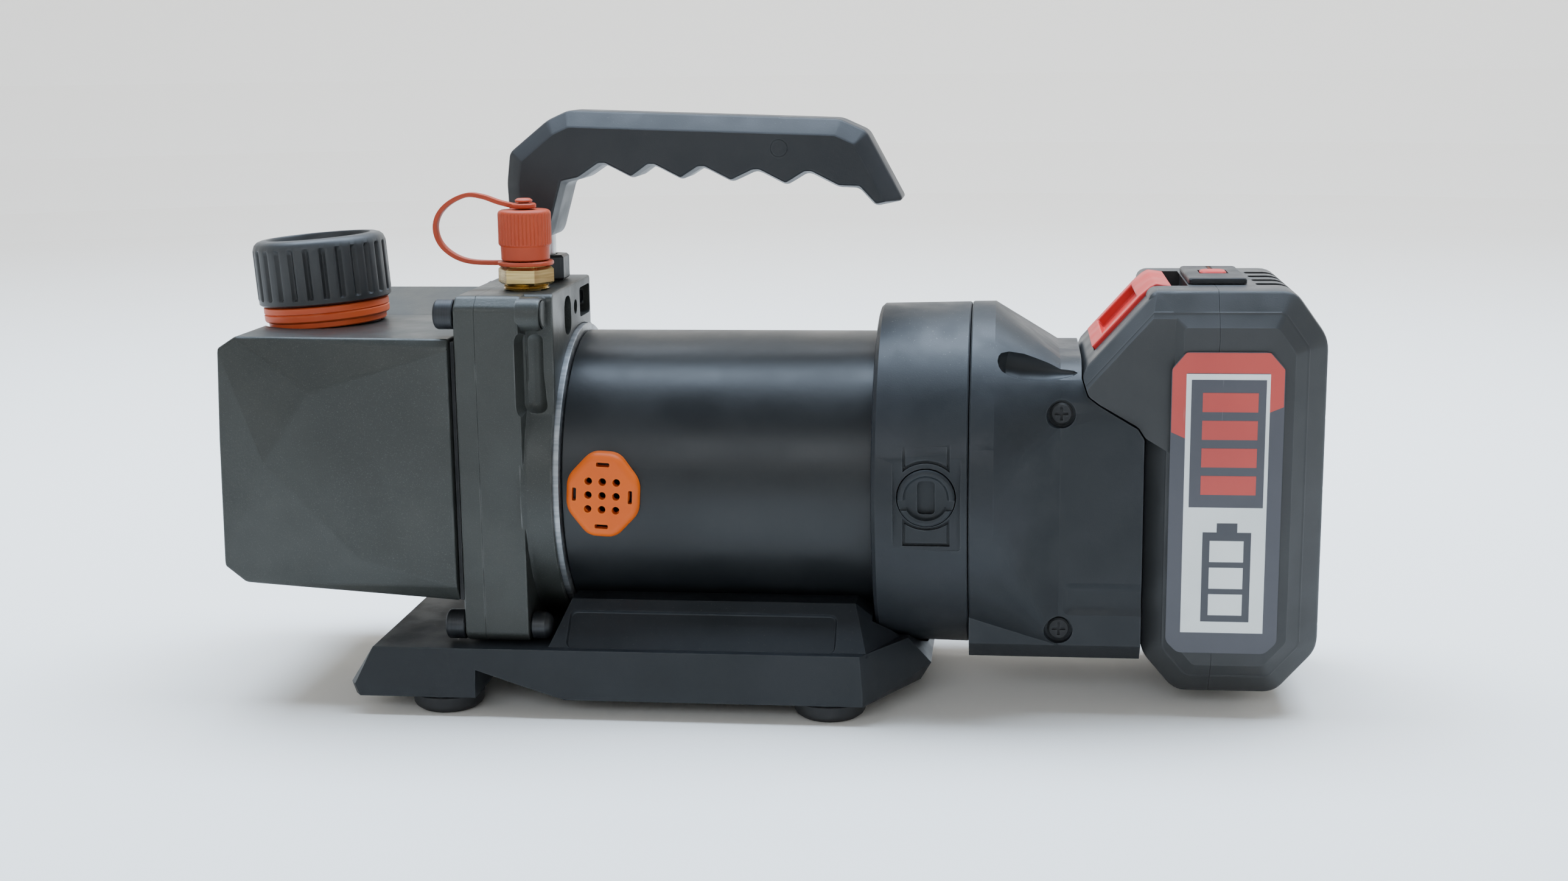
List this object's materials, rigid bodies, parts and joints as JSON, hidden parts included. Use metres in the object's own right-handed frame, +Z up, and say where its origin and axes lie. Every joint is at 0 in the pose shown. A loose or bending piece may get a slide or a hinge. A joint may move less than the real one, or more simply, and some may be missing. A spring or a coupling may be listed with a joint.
{
  "type": "cordless vacuum pump",
  "caption": "Battery-powered rotary vane vacuum pump for refrigeration work, with a cast oil tank, a round motor, a carry handle and a moulded base on rubber feet.",
  "frame": {"origin": "middle of the footprint's bounding box, on the ground under the feet", "axes": "+X along the motor's axis from the oil tank to the battery, +Y to the side away from the vent grille, +Z up"},
  "size_m": [0.315, 0.104, 0.1693],
  "materials": {
    "cast_paint": "sand-textured dark grey green paint on cast aluminium",
    "tube_paint": "satin black powder coat",
    "black_plastic": "fine moulded texture",
    "handle_plastic": "fine moulded texture",
    "orange_plastic": "satin",
    "orange_seal": "satin silicone",
    "orange_soft": "soft satin",
    "red_plastic": "satin gloss",
    "label_film": "printed film",
    "machined_metal": "turned",
    "steel": "turned",
    "black_steel": "black oxide",
    "brass": "machined, slightly dull",
    "rubber": "matt",
    "glass": "polished",
    "copper_winding": "lacquered wire and steel core",
    "carbon": "pressed carbon",
    "circuit_board": "coated board",
    "cell_wrap": "shrink wrap"
  },
  "bodies": {
    "root": {"oil_tank": "cast_paint", "tank_gasket": "rubber", "filler_neck": "black_plastic", "sight_glass": "glass", "sight_glass_bezel": "machined_metal", "body_cover_plate": "cast_paint", "pump_body": "cast_paint", "body_screw_1": "black_steel", "body_screw_2": "black_steel", "body_screw_3": "black_steel", "body_screw_4": "black_steel", "shaft_seal": "rubber", "inlet_fitting": "brass", "handle_grip": "handle_plastic", "handle_stud": "steel", "handle_nut": "black_steel", "pump_stator": "machined_metal", "exhaust_valve": "steel", "pump_end_plate": "machined_metal", "motor_front_shield": "machined_metal", "front_bearing": "steel", "motor_tube": "tube_paint", "field_ring": "steel", "vent_grille": "orange_plastic", "rear_cover": "black_plastic", "rear_bearing": "steel", "brush_cap_far": "black_plastic", "brush_cap_near": "black_plastic", "brush_far": "carbon", "brush_near": "carbon", "adapter_housing": "black_plastic", "terminal_block": "black_plastic", "controller_board": "circuit_board", "switch_bezel": "black_plastic", "base_plate": "black_plastic", "foot_front_near": "rubber", "foot_front_far": "rubber", "foot_rear_near": "rubber", "foot_rear_far": "rubber"},
    "rotor": {"armature": "copper_winding", "cooling_fan": "black_plastic", "shaft_coupling": "steel", "pump_rotor": "steel", "vane_1": "carbon", "vane_2": "carbon"},
    "seal_ring": {"cap_seal_ring": "orange_seal"},
    "fill_cap": {"oil_fill_cap": "black_plastic"},
    "drain_washer": {"drain_seal": "rubber"},
    "drain_plug": {"drain_plug": "brass"},
    "inlet_cap": {"inlet_cap": "orange_soft", "cap_tether": "orange_soft"},
    "battery": {"battery_rail_shell": "black_plastic", "battery_case": "black_plastic", "battery_cells": "cell_wrap", "button_panel": "black_plastic", "battery_label": "label_film"},
    "battery_latch": {"battery_latch": "red_plastic"},
    "charge_button": {"charge_button": "red_plastic"},
    "switch_rocker": {"switch_rocker": "red_plastic"}
  },
  "joints": [
    {"name": "rotor_spin", "type": "hinge", "parent": "root", "child": "rotor", "pos_m": [-0.05605, 0, 0.0625], "axis": [1, 0, 0], "continuous": true},
    {"name": "oil_cap_lift", "type": "slide", "parent": "root", "child": "seal_ring", "axis": [-0.0698, 0, 0.9976], "range_m": [0, 0.01]},
    {"name": "oil_cap_turn", "type": "hinge", "parent": "seal_ring", "child": "fill_cap", "pos_m": [-0.13305, -0.005, 0.1068], "axis": [-0.0698, 0, 0.9976], "range_deg": [0, 900]},
    {"name": "drain_plug_drop", "type": "slide", "parent": "root", "child": "drain_washer", "axis": [0, 0, -1], "range_m": [0, 0.0075]},
    {"name": "drain_plug_turn", "type": "hinge", "parent": "drain_washer", "child": "drain_plug", "pos_m": [-0.13805, 0, 0.026], "axis": [0, 0, -1], "range_deg": [0, 1800]},
    {"name": "inlet_cap_pull", "type": "slide", "parent": "root", "child": "inlet_cap", "axis": [0, 0, 1], "range_m": [0, 0.012]},
    {"name": "battery_slide", "type": "slide", "parent": "root", "child": "battery", "axis": [0, 0, 1], "range_m": [0, 0.07]},
    {"name": "battery_latch_press", "type": "slide", "parent": "battery", "child": "battery_latch", "axis": [1, 0, 0], "range_m": [0, 0.004], "stiffness_N_per_m": 400, "springref_m": -0.003},
    {"name": "charge_button_press", "type": "slide", "parent": "battery", "child": "charge_button", "axis": [0, 0, -1], "range_m": [0, 0.0008], "stiffness_N_per_m": 600, "springref_m": -0.0006},
    {"name": "switch_rock", "type": "hinge", "parent": "root", "child": "switch_rocker", "pos_m": [0.09595, 0.036, 0.0505], "axis": [1, 0, 0], "range_deg": [0, 16]}
  ],
  "couplings": [
    {"joint": "oil_cap_turn", "follows": "oil_cap_lift", "rad_per_m": 1570.8},
    {"joint": "drain_plug_turn", "follows": "drain_plug_drop", "rad_per_m": 4188.8}
  ]
}
